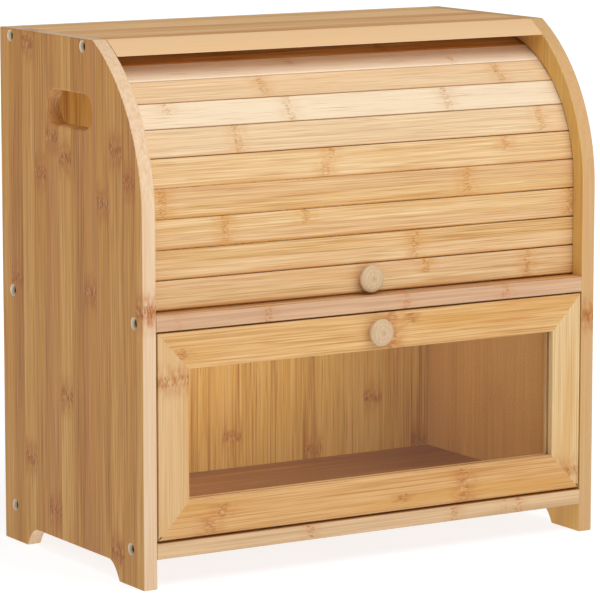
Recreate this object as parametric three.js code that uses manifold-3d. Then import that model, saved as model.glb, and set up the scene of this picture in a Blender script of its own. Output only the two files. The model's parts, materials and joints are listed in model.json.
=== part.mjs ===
// Two-tier bread box in laminated bamboo: a roll top of linked slats above, a drop-front door below.
// Millimetres. X runs to the right, Y to the back and Z up; the origin is under the middle of the box.
import * as THREE from "three";
import { mergeVertices } from "three/addons/utils/BufferGeometryUtils.js";
import Module from "manifold-3d";

const wasm = await Module();
wasm.setup();

// --- Driving dimensions --------------------------------------------------------------------------
const width = 400;
const depth = 220; // side panels, front edge to back edge
const height = 396;
const panelThickness = 11.5;
const boardThickness = 12;
const backThickness = 6;
const knobReach = 10.5; // how far a knob stands out of its face
const glueGap = 0.1; // between pieces that are fastened together
const turnGap = 0.3; // round a piece that turns or sits in a cut

const front = -(depth - knobReach) / 2; // front edges of the side panels
const back = front + depth;
const inner = width / 2 - panelThickness; // inner faces of the side panels
const boardBack = back - backThickness - glueGap;

const shelfTop = 201.5;
const baseTop = 34;
const topUnderside = height - boardThickness + 0.5;

// Curved upper front of the side panels and of the top board
const noseRadius = 144.4;
const noseCentreY = front + noseRadius;
const noseCentreZ = 271;

// Roll top: the outer faces of the slats follow a straight rise, a front arc and a rear arc
const slatCount = 11;
const slatPitch = 22.3;
const slatGap = 0.7;
const slatThickness = 6;
const slatTaper = 1.1; // each long edge leans in by this much, so that the row can bend
const slatEndGap = 0.4;
const trackFront = front + 13.6;
const trackStart = shelfTop + 0.8;
const trackBend = 275.5; // where the straight rise turns into the front arc
const frontRadius = 108;
const rearRadius = 87.5;
const trackMiddle = trackFront + frontRadius;
const trackTop = trackBend + frontRadius;
const rearCentreZ = trackTop - rearRadius;
const grooveDepth = 4;
const grooveClearance = 0.6;
const grooveEnd = 256;
const clothWidth = 20.3;
const clothThickness = 0.6;
const clothLength = 352;

// Drop-front door
const doorHalfWidth = inner - 1.3;
const doorBottom = 35.6;
const doorTop = 188.3;
const doorThickness = 11.5;
const windowHalfWidth = 161.5;
const windowBottom = 63.5;
const windowTop = 160.6;
const paneThickness = 2.5;
const paneInset = 5.6; // front of the door to the front of the pane
const paneEdge = 4; // how deep the pane sits in the frame
const pivotY = front + 4.6;
const pivotZ = 38.9;
const knuckleRadius = 4.65; // lower front corner of the door, round the pivot
const pinRadius = 1.5;
const pinLength = 16;
const doorKnobZ = 174.5;

// Knobs and screws
const knobRadius = 10.3;
const knobScrewRadius = 2;
const knobScrewBite = 7;
const screwHeadRadius = 3.7;
const screwHeadHeight = 2.2;
const screwShankRadius = 1.95;
const screwLength = 34;
const counterboreRadius = 4.3;
const counterboreDepth = 6.4;
const screwSeat = width / 2 - counterboreDepth; // where the screw heads bear on the side panels
const screwTip = screwSeat + screwHeadHeight - screwLength;

// --- Materials -----------------------------------------------------------------------------------
const finish = (color, roughness, metalness = 0) => ({ color, roughness, metalness });
const panelBamboo = finish(0xb98a5a, 0.5);
const paleBamboo = finish(0xe0bd85, 0.5);
const doorBamboo = finish(0xdcb172, 0.5);
const knobWood = finish(0xe6cda0, 0.45);
const canvas = finish(0xcfc4ae, 0.95);
const acrylic = finish(0xdfe6e6, 0.08);
const steel = finish(0xb8bcc0, 0.3, 0.9);
const darkSteel = finish(0x54504b, 0.4, 0.8);
const whitePlastic = finish(0xe9e6df, 0.4);

// --- Shape helpers -------------------------------------------------------------------------------
function toSolid(geometry) {
  const bare = geometry.clone();
  bare.deleteAttribute("normal");
  bare.deleteAttribute("uv");
  const merged = mergeVertices(bare, 1e-4);
  return new wasm.Manifold(new wasm.Mesh({
    numProp: 3,
    vertProperties: new Float32Array(merged.attributes.position.array),
    triVerts: new Uint32Array(merged.index.array),
  }));
}

function toGeometry(solid) {
  const mesh = solid.getMesh();
  const geometry = new THREE.BufferGeometry();
  geometry.setAttribute("position", new THREE.BufferAttribute(new Float32Array(mesh.vertProperties), 3));
  geometry.setIndex(new THREE.BufferAttribute(new Uint32Array(mesh.triVerts), 1));
  const flat = geometry.toNonIndexed();
  flat.computeVertexNormals();
  return flat;
}

function cut(geometry, ...cutters) {
  let solid = toSolid(geometry);
  for (const cutter of cutters) solid = solid.subtract(toSolid(cutter));
  return toGeometry(solid);
}

const common = (a, b) => toGeometry(toSolid(a).intersect(toSolid(b)));

function block([x0, x1], [y0, y1], [z0, z1]) {
  const box = new THREE.BoxGeometry(x1 - x0, y1 - y0, z1 - z0);
  return box.translate((x0 + x1) / 2, (y0 + y1) / 2, (z0 + z1) / 2);
}

// A shape drawn in Y and Z, pulled along X
function alongX(shape, x0, x1, curveSegments = 12) {
  const pulled = new THREE.ExtrudeGeometry(shape, { depth: x1 - x0, bevelEnabled: false, curveSegments });
  const turn = new THREE.Matrix4().set(0, 0, 1, x0, 1, 0, 0, 0, 0, 1, 0, 0, 0, 0, 0, 1);
  return pulled.applyMatrix4(turn);
}

// A shape drawn in X and Z, pulled along Y
function alongY(shape, y0, y1) {
  const pulled = new THREE.ExtrudeGeometry(shape, { depth: y1 - y0, bevelEnabled: false });
  return pulled.rotateX(Math.PI / 2).translate(0, y1, 0);
}

function rodX(radius, x0, x1, y, z, segments = 16) {
  const rod = new THREE.CylinderGeometry(radius, radius, x1 - x0, segments);
  return rod.rotateZ(Math.PI / 2).translate((x0 + x1) / 2, y, z);
}

function rodY(radius, y0, y1, x, z, segments = 16) {
  const rod = new THREE.CylinderGeometry(radius, radius, y1 - y0, segments);
  return rod.translate(x, (y0 + y1) / 2, z);
}

// A profile of [radius, height] points, turned about Y
const turned = (profile, segments) =>
  new THREE.LatheGeometry(profile.map(([radius, high]) => new THREE.Vector2(radius, high)), segments);

function polygon(points) {
  return new THREE.Shape(points.map(([across, up]) => new THREE.Vector2(across, up)));
}

const breadBox = new THREE.Group();

function add(name, geometry, look, parent = breadBox) {
  const mesh = new THREE.Mesh(geometry, new THREE.MeshStandardMaterial(look));
  mesh.name = name;
  parent.add(mesh);
  return mesh;
}

// --- Carcass -------------------------------------------------------------------------------------
// Where the carcass screws go in, seen from the side: [distance back from the front edge, height]
const topMiddle = (topUnderside + height) / 2;
const shelfMiddle = shelfTop - boardThickness / 2;
const baseMiddle = baseTop - boardThickness / 2;
const screwPlaces = [
  ["top_front", 87.5, topMiddle],
  ["top_rear", 202.5, topMiddle],
  ["shelf_front", 12.5, shelfMiddle],
  ["shelf_rear", 202.5, shelfMiddle],
  ["base_front", 19, baseMiddle],
  ["base_rear", 202.5, baseMiddle],
];

function noseY(z) {
  return noseCentreY - Math.sqrt(noseRadius ** 2 - (z - noseCentreZ) ** 2);
}

function sideOutline() {
  const footFront = front + 37.4;
  const footRear = front + 183.5;
  const archHeight = 14.5;
  const archRun = 17.4; // length of each curved end of the arch
  const noseAngle = Math.asin((height - noseCentreZ) / noseRadius);
  const outline = new THREE.Shape();
  outline.moveTo(front, 0);
  outline.lineTo(footFront, 0);
  outline.bezierCurveTo(footFront + 4, 7, footFront + 9, archHeight, footFront + archRun, archHeight);
  outline.lineTo(footRear - archRun, archHeight);
  outline.bezierCurveTo(footRear - 9, archHeight, footRear - 4, 7, footRear, 0);
  outline.lineTo(back, 0);
  outline.lineTo(back, height);
  outline.lineTo(noseY(height), height);
  outline.absarc(noseCentreY, noseCentreZ, noseRadius, Math.PI - noseAngle, Math.PI, false);
  outline.lineTo(front, 0);
  return outline;
}

function handleSlot() {
  const slotFront = front + 74;
  const slotRear = front + 143.5;
  const slotBottom = 329.4;
  const slotTop = 355.4;
  const end = (slotTop - slotBottom) / 2;
  const slot = new THREE.Path();
  slot.moveTo(slotFront + end, slotBottom);
  slot.lineTo(slotRear - end, slotBottom);
  slot.absarc(slotRear - end, slotBottom + end, end, -Math.PI / 2, Math.PI / 2, false);
  slot.lineTo(slotFront + end, slotTop);
  slot.absarc(slotFront + end, slotBottom + end, end, Math.PI / 2, Math.PI * 1.5, false);
  return slot;
}

function grooveOutline() {
  const outside = grooveClearance;
  const inside = slatThickness + clothThickness + grooveClearance;
  const rearEdge = trackMiddle + rearRadius;
  const groove = new THREE.Shape();
  groove.moveTo(trackFront - outside, shelfTop);
  groove.lineTo(trackFront - outside, trackBend);
  groove.absarc(trackMiddle, trackBend, frontRadius + outside, Math.PI, Math.PI / 2, true);
  groove.absarc(trackMiddle, rearCentreZ, rearRadius + outside, Math.PI / 2, 0, true);
  groove.lineTo(rearEdge + outside, grooveEnd);
  groove.lineTo(rearEdge - inside, grooveEnd);
  groove.absarc(trackMiddle, rearCentreZ, rearRadius - inside, 0, Math.PI / 2, false);
  groove.absarc(trackMiddle, trackBend, frontRadius - inside, Math.PI / 2, Math.PI, false);
  groove.lineTo(trackFront + inside, shelfTop);
  return groove;
}

const span = (side, a, b) => [side * a, side * b].sort((p, q) => p - q);

function sidePanel(side) {
  const outline = sideOutline();
  outline.holes.push(handleSlot());
  const blank = alongX(outline, ...span(side, inner, width / 2), 20);
  const cutters = [
    alongX(grooveOutline(), ...span(side, inner - 1, inner + grooveDepth), 20),
    rodX(pinRadius + turnGap, ...span(side, inner - 1, inner + pinLength / 2 + turnGap), pivotY, pivotZ),
  ];
  for (const [, y, z] of screwPlaces) {
    cutters.push(rodX(counterboreRadius, ...span(side, screwSeat, width / 2 + 1), front + y, z, 20));
    cutters.push(rodX(screwShankRadius + turnGap, ...span(side, inner - 1, screwSeat + 1), front + y, z, 12));
  }
  return cut(blank, ...cutters);
}

function drilled(geometry, bottom, top) {
  const cutters = [];
  for (const [, y, z] of screwPlaces) {
    if (z < bottom || z > top) continue;
    for (const side of [-1, 1]) {
      cutters.push(rodX(screwShankRadius + turnGap, ...span(side, screwTip - 1, inner + 1), front + y, z, 12));
    }
  }
  return cut(geometry, ...cutters);
}

// A flat board between the side panels, with its front edge eased
function levelBoard(bottom, top) {
  const ease = 1.2;
  const section = polygon([
    [front + ease, bottom], [boardBack, bottom], [boardBack, top], [front + ease, top],
    [front, top - ease], [front, bottom + ease],
  ]);
  return drilled(alongX(section, -inner + glueGap, inner - glueGap), bottom, top);
}

function topBoard() {
  const lowAngle = Math.asin((topUnderside - noseCentreZ) / noseRadius);
  const highAngle = Math.asin((height - noseCentreZ) / noseRadius);
  const section = new THREE.Shape();
  section.moveTo(noseY(topUnderside), topUnderside);
  section.lineTo(boardBack, topUnderside);
  section.lineTo(boardBack, height);
  section.lineTo(noseY(height), height);
  section.absarc(noseCentreY, noseCentreZ, noseRadius, Math.PI - highAngle, Math.PI - lowAngle, false);
  return drilled(alongX(section, -inner + glueGap, inner - glueGap, 8), topUnderside, height);
}

function carcassScrew(side, y, z) {
  const socketDepth = 1.4;
  const headTop = screwSeat + glueGap + screwHeadHeight;
  const body = turned([
    [0, 0], [screwHeadRadius - 0.4, 0], [screwHeadRadius, 0.4], [screwHeadRadius, screwHeadHeight],
    [screwShankRadius, screwHeadHeight], [screwShankRadius, screwLength - 4], [0, screwLength],
  ], 12);
  const socket = new THREE.CylinderGeometry(1.5, 1.5, socketDepth * 2, 6);
  return cut(body, socket).rotateZ(side * Math.PI / 2).translate(side * headTop, y, z);
}

for (const [hand, side] of [["left", -1], ["right", 1]]) {
  add(`side_panel_${hand}`, sidePanel(side), panelBamboo);
}
add("top_board", topBoard(), paleBamboo);
add("middle_shelf", levelBoard(shelfTop - boardThickness, shelfTop), paleBamboo);
add("bottom_board", levelBoard(baseTop - boardThickness, baseTop), paleBamboo);
add("back_panel", block([-inner + glueGap, inner - glueGap], [back - backThickness, back],
  [baseTop - boardThickness, height]), panelBamboo);
for (const [hand, side] of [["left", -1], ["right", 1]]) {
  for (const [place, y, z] of screwPlaces) {
    add(`screw_${hand}_${place}`, carcassScrew(side, front + y, z), darkSteel);
  }
}

// --- Knobs: a turned knob and the screw that holds it from behind, on the Y axis, face at Y = 0 -----
function knob() {
  const domeHeight = 3.6;
  const dome = [];
  for (let step = 0; step <= 4; step++) {
    const angle = (step / 5) * (Math.PI / 2);
    dome.push([knobRadius * Math.cos(angle), knobReach - domeHeight * (1 - Math.sin(angle))]);
  }
  const body = turned([
    [0, glueGap], [7, glueGap], [7.2, 0.8], [6.7, 2], [7.1, 3.2], [8.7, 4.6], [9.9, 5.8],
    ...dome, [0, knobReach],
  ], 24);
  const hole = rodY(knobScrewRadius + turnGap, -1, knobScrewBite + 1, 0, 0, 12);
  return cut(body.rotateX(Math.PI).rotateY(Math.PI), hole.rotateX(Math.PI));
}

// The screw's head bears on the back of a plate of the given thickness
function knobScrew(plateThickness) {
  const head = 2.2;
  const length = plateThickness + knobScrewBite;
  const body = turned([
    [0, 0], [knobScrewRadius, 0.6], [knobScrewRadius, length + glueGap], [4, length + glueGap],
    [4, length + glueGap + head * 0.5], [2.4, length + glueGap + head], [0, length + glueGap + head],
  ], 12);
  return body.translate(0, -knobScrewBite, 0);
}

// --- Drop-front door -----------------------------------------------------------------------------
function doorSection() {
  const ease = 1;
  const reach = Math.asin((pivotZ - doorBottom) / knuckleRadius);
  const section = new THREE.Shape();
  section.moveTo(front + doorThickness, doorBottom);
  section.lineTo(front + doorThickness, doorTop);
  section.lineTo(front + ease, doorTop);
  section.lineTo(front, doorTop - ease);
  section.lineTo(front, pivotZ);
  section.absarc(pivotY, pivotZ, knuckleRadius, Math.PI, Math.PI + reach, false);
  return alongX(section, -width / 2, width / 2, 6);
}

function doorMember(corners) {
  const prism = alongY(polygon(corners), front, front + doorThickness);
  const rebate = block(
    [-windowHalfWidth - paneEdge - turnGap, windowHalfWidth + paneEdge + turnGap],
    [front + paneInset - turnGap, front + paneInset + paneThickness + turnGap],
    [windowBottom - paneEdge - turnGap, windowTop + paneEdge + turnGap],
  );
  return cut(common(prism, doorSection()), rebate);
}

const mitreGap = 0.15;

function doorRail(outerZ, innerZ) {
  return doorMember([
    [-doorHalfWidth, outerZ], [doorHalfWidth, outerZ], [windowHalfWidth, innerZ], [-windowHalfWidth, innerZ],
  ]);
}

function doorStile(side) {
  return doorMember([
    [side * doorHalfWidth, doorBottom + mitreGap], [side * doorHalfWidth, doorTop - mitreGap],
    [side * windowHalfWidth, windowTop - mitreGap], [side * windowHalfWidth, windowBottom + mitreGap],
  ]);
}

function pinHole(side) {
  const deep = doorHalfWidth - pinLength / 2;
  return rodX(pinRadius + turnGap, ...span(side, deep, doorHalfWidth + 1), pivotY, pivotZ);
}

const knobHole = rodY(knobScrewRadius + turnGap, front - 1, front + doorThickness + 1, 0, doorKnobZ, 12);
add("door_top_rail", cut(doorRail(doorTop, windowTop), knobHole), doorBamboo);
add("door_bottom_rail", cut(doorRail(doorBottom, windowBottom), pinHole(-1), pinHole(1)), doorBamboo);
for (const [hand, side] of [["left", -1], ["right", 1]]) {
  add(`door_stile_${hand}`, cut(doorStile(side), pinHole(side)), doorBamboo);
  const pin = rodX(pinRadius, ...span(side, inner - pinLength / 2, inner + pinLength / 2), pivotY, pivotZ, 12);
  add(`door_pivot_pin_${hand}`, pin, steel);
}
add("door_window", block(
  [-windowHalfWidth - paneEdge, windowHalfWidth + paneEdge],
  [front + paneInset, front + paneInset + paneThickness],
  [windowBottom - paneEdge, windowTop + paneEdge],
), acrylic);

const doorFittings = new THREE.Group();
doorFittings.position.set(0, front, doorKnobZ);
breadBox.add(doorFittings);
add("door_knob", knob(), knobWood, doorFittings);
add("door_knob_screw", knobScrew(doorThickness), steel, doorFittings);

// Magnet catch under the shelf, behind the top rail, and its strike plate on the door
const catchX = 60;
const strikeThickness = 0.8;
const strikeBack = front + doorThickness + glueGap + strikeThickness;
const shelfUnderside = shelfTop - boardThickness;
add("strike_plate", block([catchX - 17, catchX + 17],
  [front + doorThickness + glueGap, strikeBack], [175, 186.5]), steel);
const catchBody = block([catchX - 22, catchX + 22], [strikeBack + 1.2, strikeBack + 16],
  [shelfUnderside - 14, shelfUnderside - glueGap]);
const magnetPocket = block([catchX - 14, catchX + 14], [strikeBack, strikeBack + 10],
  [shelfUnderside - 11, shelfUnderside - 4]);
add("magnet_catch", cut(catchBody, magnetPocket), whitePlastic);
add("catch_magnet", block([catchX - 13.7, catchX + 13.7], [strikeBack + 0.4, strikeBack + 9.6],
  [shelfUnderside - 10.7, shelfUnderside - 4.3]), darkSteel);

// --- Roll top ------------------------------------------------------------------------------------
const riseLength = trackBend - trackStart;
const frontArcLength = frontRadius * Math.PI / 2;

// The point of the track that lies a given length along it from its lower front end
function trackPoint(along) {
  if (along < riseLength) return [trackFront, trackStart + along];
  if (along < riseLength + frontArcLength) {
    const angle = (along - riseLength) / frontRadius;
    return [trackMiddle - frontRadius * Math.cos(angle), trackBend + frontRadius * Math.sin(angle)];
  }
  const angle = (along - riseLength - frontArcLength) / rearRadius;
  return [trackMiddle + rearRadius * Math.sin(angle), rearCentreZ + rearRadius * Math.cos(angle)];
}

// Slats are drawn with their outer face at Y = 0, facing the front, and their middle at Z = 0
function slat() {
  const half = (slatPitch - slatGap) / 2;
  const narrow = half - slatTaper;
  const ease = 1;
  const section = polygon([
    [ease, -half], [slatThickness, -narrow], [slatThickness, narrow], [ease, half],
    [ease * 0.3, half - ease * 0.3], [0, half - ease], [0, -half + ease], [ease * 0.3, -half + ease * 0.3],
  ]);
  return alongX(section, -inner + slatEndGap, inner - slatEndGap);
}

function clothBand() {
  const face = slatThickness + 2 * glueGap;
  return block([-clothLength / 2, clothLength / 2], [face, face + clothThickness],
    [-clothWidth / 2, clothWidth / 2]);
}

for (let index = 0; index < slatCount; index++) {
  const number = String(index + 1).padStart(2, "0");
  const [lowY, lowZ] = trackPoint(index * slatPitch);
  const [highY, highZ] = trackPoint((index + 1) * slatPitch);
  const place = new THREE.Group();
  place.position.set(0, (lowY + highY) / 2, (lowZ + highZ) / 2);
  place.rotation.x = -Math.atan2(highY - lowY, highZ - lowZ);
  breadBox.add(place);
  if (index > 0) {
    add(`slat_${number}`, slat(), paleBamboo, place);
    add(`cloth_band_${number}`, clothBand(), canvas, place);
    continue;
  }
  const screwHole = rodY(knobScrewRadius + turnGap, -1, slatThickness + 1, 0, 0, 12);
  const screwOpening = rodY(4 + turnGap, slatThickness - 1, slatThickness + 2, 0, 0, 12);
  add(`slat_${number}`, cut(slat(), screwHole), paleBamboo, place);
  add(`cloth_band_${number}`, cut(clothBand(), screwOpening), canvas, place);
  add("roll_top_knob", knob(), knobWood, place);
  add("roll_top_knob_screw", knobScrew(slatThickness), steel, place);
}

export default breadBox;
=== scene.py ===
# Two-tier bread box in laminated bamboo: a roll top of linked slats above, a drop-front door below.
# Lengths are in millimetres until a mesh is made; X runs right, Y back and Z up, as in the frame.
import json
import math

import bmesh
import bpy
from mathutils import Matrix, Vector


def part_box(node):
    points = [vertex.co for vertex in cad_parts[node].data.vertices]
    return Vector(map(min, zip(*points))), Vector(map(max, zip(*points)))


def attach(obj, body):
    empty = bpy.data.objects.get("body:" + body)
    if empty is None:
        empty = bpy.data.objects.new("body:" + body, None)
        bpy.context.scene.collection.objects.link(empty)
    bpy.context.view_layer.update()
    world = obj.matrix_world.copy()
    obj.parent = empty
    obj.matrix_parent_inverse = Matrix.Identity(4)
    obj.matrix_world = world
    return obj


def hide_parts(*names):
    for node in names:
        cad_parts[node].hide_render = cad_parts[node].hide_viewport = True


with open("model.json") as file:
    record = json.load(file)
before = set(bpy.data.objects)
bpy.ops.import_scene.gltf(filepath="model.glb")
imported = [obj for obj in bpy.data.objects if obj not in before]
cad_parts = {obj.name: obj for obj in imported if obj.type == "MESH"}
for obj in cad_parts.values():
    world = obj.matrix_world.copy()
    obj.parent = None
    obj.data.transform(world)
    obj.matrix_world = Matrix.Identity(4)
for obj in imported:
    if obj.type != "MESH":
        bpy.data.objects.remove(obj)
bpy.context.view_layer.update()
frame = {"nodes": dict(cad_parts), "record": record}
mm = 0.001
scene = bpy.context.scene
bodyOf = {node: body for body, nodes in frame["record"]["behaviour"]["bodies"].items() for node in nodes}
print("frame loaded with", len(frame["nodes"]), "nodes")


# camera, lamps and the floor's colours
view = {
    "place": (-1475, -2397.6, 618.9),
    "turn": (81.228, 0, -31.551),
    "lens": 221.8,
    "sensor": 36,
}
studio = {
    "ambient": 0.27,
    "backdrop": 1.0,
    "floor": (0.3, 0.3, 0.3, 1),
    "floorPale": (0.32, 0.32, 0.32, 1),
    "floorNear": (0.82, 0.825, 0.83, 1),
    "floorFar": (1, 1, 1, 1),
    "floorHalf": 9000,
    "floorTurn": (300, 1000),
    "floorCloud": 700,
    # name: place, aim, size across and up, watts
    "lamps": {
        "front_softbox": ((250, -2400, 520), (0, 0, 230), (1500, 700), 5.5),
        "top_softbox": ((0, -1150, 1900), (0, 0, 250), (2300, 1500), 31),
        "lower_fill": ((-50, -76, 172), (-50, 60, 125), (240, 22), 0.27),
        "upper_fill": ((0, 0, 225), (0, 80, 330), (300, 60), 0.2),
    },
}


def makeCamera():
    lens = bpy.data.cameras.new("camera")
    lens.lens = view["lens"]
    lens.sensor_width = view["sensor"]
    camera = bpy.data.objects.new("camera", lens)
    camera.location = Vector(view["place"]) * mm
    camera.rotation_euler = [math.radians(angle) for angle in view["turn"]]
    scene.collection.objects.link(camera)
    scene.camera = camera


def makeLamps():
    for name, (place, aim, size, watts) in studio["lamps"].items():
        lamp = bpy.data.lights.new(name, "AREA")
        lamp.shape = "RECTANGLE"
        lamp.size, lamp.size_y = size[0] * mm, size[1] * mm
        lamp.energy = watts
        holder = bpy.data.objects.new(name, lamp)
        holder.visible_camera = False
        holder.location = Vector(place) * mm
        holder.rotation_euler = (Vector(aim) - Vector(place)).to_track_quat("-Z", "Y").to_euler()
        scene.collection.objects.link(holder)


def makeWorld():
    world = bpy.data.worlds.new("studio")
    world.use_nodes = True
    scene.world = world
    tree = world.node_tree
    tree.nodes.clear()
    ray = tree.nodes.new("ShaderNodeLightPath")
    fill = tree.nodes.new("ShaderNodeBackground")
    fill.inputs["Strength"].default_value = studio["ambient"]
    fill.inputs["Color"].default_value = (1, 1, 1, 1)
    seen = tree.nodes.new("ShaderNodeBackground")
    seen.inputs["Strength"].default_value = studio["backdrop"]
    seen.inputs["Color"].default_value = (1, 1, 1, 1)
    either = tree.nodes.new("ShaderNodeMixShader")
    output = tree.nodes.new("ShaderNodeOutputWorld")
    tree.links.new(ray.outputs["Is Camera Ray"], either.inputs[0])
    tree.links.new(fill.outputs[0], either.inputs[1])
    tree.links.new(seen.outputs[0], either.inputs[2])
    tree.links.new(either.outputs[0], output.inputs["Surface"])


makeCamera()
makeLamps()
makeWorld()
scene.view_settings.view_transform = "Standard"
print("camera and lamps are up")


# shader maths, written as expressions
def colour(red, green, blue):
    # screen values from 0 to 255, as the linear colour that a socket takes
    linear = []
    for value in (red, green, blue):
        part = value / 255
        linear.append(part / 12.92 if part < 0.04045 else ((part + 0.055) / 1.055) ** 2.4)
    return (*linear, 1)


class Flow:
    # one socket's value; sums and products of it add Math nodes
    def __init__(self, finish, socket):
        self.finish, self.socket = finish, socket

    def math(self, operation, *others):
        inputs = dict(enumerate((self, *others)))
        return self.finish.node("Math", {"operation": operation}, inputs)

    def __add__(self, other):
        return self.math("ADD", other)

    def __sub__(self, other):
        return self.math("SUBTRACT", other)

    def __rsub__(self, other):
        return self.finish.node("Math", {"operation": "SUBTRACT"}, {0: other, 1: self})

    def __mul__(self, other):
        return self.math("MULTIPLY", other)

    def __truediv__(self, other):
        return self.math("DIVIDE", other)

    def __abs__(self):
        return self.math("ABSOLUTE")

    __radd__ = __add__
    __rmul__ = __mul__

    def rise(self, low, high):
        # 0 below low, 1 above high, smooth between
        settings = {"interpolation_type": "SMOOTHSTEP"}
        inputs = {"Value": self, "From Min": low, "From Max": high}
        return self.finish.node("MapRange", settings, inputs)

    def fall(self, low, high):
        return 1 - self.rise(low, high)


class Finish:
    # a material under construction
    def __init__(self, name):
        self.material = bpy.data.materials.new(name)
        self.material.use_nodes = True
        self.tree = self.material.node_tree
        self.tree.nodes.clear()

    def node(self, kind, settings=None, inputs=None, output=0):
        made = self.tree.nodes.new("ShaderNode" + kind)
        for key, value in (settings or {}).items():
            if key == "stops":
                while len(made.color_ramp.elements) < len(value):
                    made.color_ramp.elements.new(1)
                for stop, (position, tint) in zip(made.color_ramp.elements, value):
                    stop.position, stop.color = position, tint
            else:
                setattr(made, key, value)
        for key, value in (inputs or {}).items():
            if isinstance(value, Flow):
                self.tree.links.new(value.socket, made.inputs[key])
            else:
                made.inputs[key].default_value = value
        return Flow(self, made.outputs[output])

    def blend(self, factor, base, over):
        settings = {"data_type": "RGBA", "blend_type": "MIX", "clamp_factor": True}
        return self.node("Mix", settings, {0: factor, 6: base, 7: over}, 2)

    def vector(self, x, y, z):
        return self.node("CombineXYZ", None, {0: x, 1: y, 2: z})

    def place(self, axes="xyz"):
        # the piece's own coordinates in millimetres, in the order asked for
        own = self.node("TexCoord", None, None, "Object")
        scaled = self.node("VectorMath", {"operation": "SCALE"}, {0: own, "Scale": 1 / mm})
        return [self.node("SeparateXYZ", None, {0: scaled}, "xyz".index(axis)) for axis in axes]

    def facing(self, axis):
        # 1 where the surface looks along the axis, 0 where it is turned away by a right angle
        normal = self.node("TexCoord", None, None, "Normal")
        return abs(self.node("SeparateXYZ", None, {0: normal}, "xyz".index(axis)))

    def noise(self, x, y, z, detail=2.0):
        # soft noise about zero
        inputs = {"Vector": self.vector(x, y, z), "Scale": 1.0, "Detail": detail, "Roughness": 0.55}
        return self.node("TexNoise", None, inputs, "Fac") - 0.5

    def chance(self, x, y):
        # one value from 0 to 1 for each pair of numbers
        inputs = {"Vector": self.vector(x, y, 0)}
        return self.node("TexWhiteNoise", {"noise_dimensions": "2D"}, inputs, "Value")

    def bump(self, height, strength, distance):
        inputs = {"Height": height, "Strength": strength, "Distance": distance * mm}
        return self.node("Bump", None, inputs, "Normal")

    def close(self, **values):
        # the main shader: values are sockets written as one word each
        names = {
            "color": "Base Color", "roughness": "Roughness", "metallic": "Metallic", "normal": "Normal",
            "specular": "Specular IOR Level", "glow": "Emission Color", "glowStrength": "Emission Strength",
        }
        inputs = {names[key]: value for key, value in values.items()}
        shader = self.node("BsdfPrincipled", None, inputs, "BSDF")
        self.output(shader)
        return self.material

    def output(self, shader):
        end = self.tree.nodes.new("ShaderNodeOutputMaterial")
        self.tree.links.new(shader.socket, end.inputs["Surface"])


# bamboo, glued from strips; spans are in millimetres and shares run from 0 to 1
bambooBase = {
    "axes": "zyx",  # along the fibres, across the strips and into the board
    "seed": 1.0,
    "roughness": 0.46,
    # the glued strips and the fibres in them
    "strip": 19.5, "border": 2.0, "stripTone": 0.22, "seam": 0.22,
    "fine": 0.9, "fineWidth": 1.0, "mid": 0.42, "midWidth": 3.0, "broad": 0.25, "broadWidth": 17.0,
    "dark": colour(166, 102, 44), "middle": colour(204, 146, 72), "pale": colour(226, 176, 104),
    "blush": colour(200, 136, 84), "blushes": 0.4,
    "gold": colour(202, 142, 56), "golds": 0.5,
    "streak": colour(190, 116, 46), "streaks": 0.4, "lines": 0.45,
    # edges across the layers
    "rim": colour(231, 206, 178), "rimShare": 0.88, "rimTurn": (0.45, 0.85),
    # joints of the cane: strewn by chance, and marks at [place, lower side, upper side]
    "knots": 0.7, "knotSpacing": 210.0, "knotShare": 0.62, "knotHalf": 4.6, "marks": (),
    "knotDark": colour(132, 76, 34), "knotTint": colour(178, 106, 46), "knotShade": 0.62,
    "lowEdge": 0.0,  # painted shade: a warm line along the lower edge
    "hollow": (),  # painted shade in the hand slot's room: low, high, near and far
    # bores at [place, side]; their walls turn from painted shade to painted light, and the inner face's
    # painted light ends, between two levels
    "bores": (), "boreRadius": 0.0, "boreTurn": (), "innerFace": (),
    # painted light on bore walls near the mouth, painted shade deeper in the bores, and painted light on
    # the panels' inner face
    "fresh": colour(255, 240, 214), "bottom": colour(120, 84, 44), "within": colour(236, 200, 118),
}


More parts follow.
